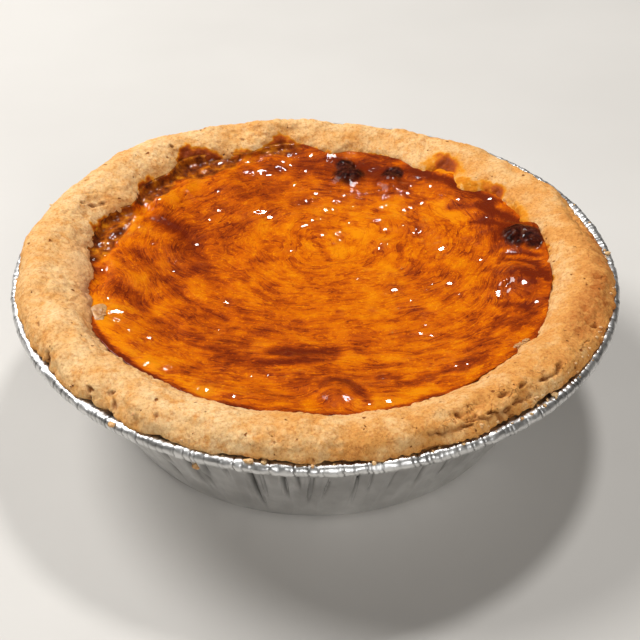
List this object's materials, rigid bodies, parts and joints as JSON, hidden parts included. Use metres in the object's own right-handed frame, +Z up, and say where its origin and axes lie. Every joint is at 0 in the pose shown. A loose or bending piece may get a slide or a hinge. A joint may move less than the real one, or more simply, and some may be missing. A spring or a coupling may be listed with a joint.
{
  "type": "mini sweet potato pie in a foil tin",
  "caption": "Small round open pie in a crimped foil tin: thick uneven shortcrust rim round a sunken, wrinkled, caramelised orange filling.",
  "frame": {"origin": "centre of the tin's base, on the surface that it stands on", "axes": "+Z up out of the pie, -Y towards the front as pictured, +X to the picture's right"},
  "size_m": [0.127, 0.127, 0.0371],
  "materials": {
    "foil_tin": "bright crumpled aluminium foil",
    "crust": "matt golden baked shortcrust, crumbly, with fine pits and cracks",
    "filling": "glossy wrinkled caramelised skin, orange with red-brown and burnt patches"
  },
  "bodies": {
    "root": {"foil_tin": "foil_tin", "crust": "crust", "filling": "filling"}
  },
  "joints": []
}
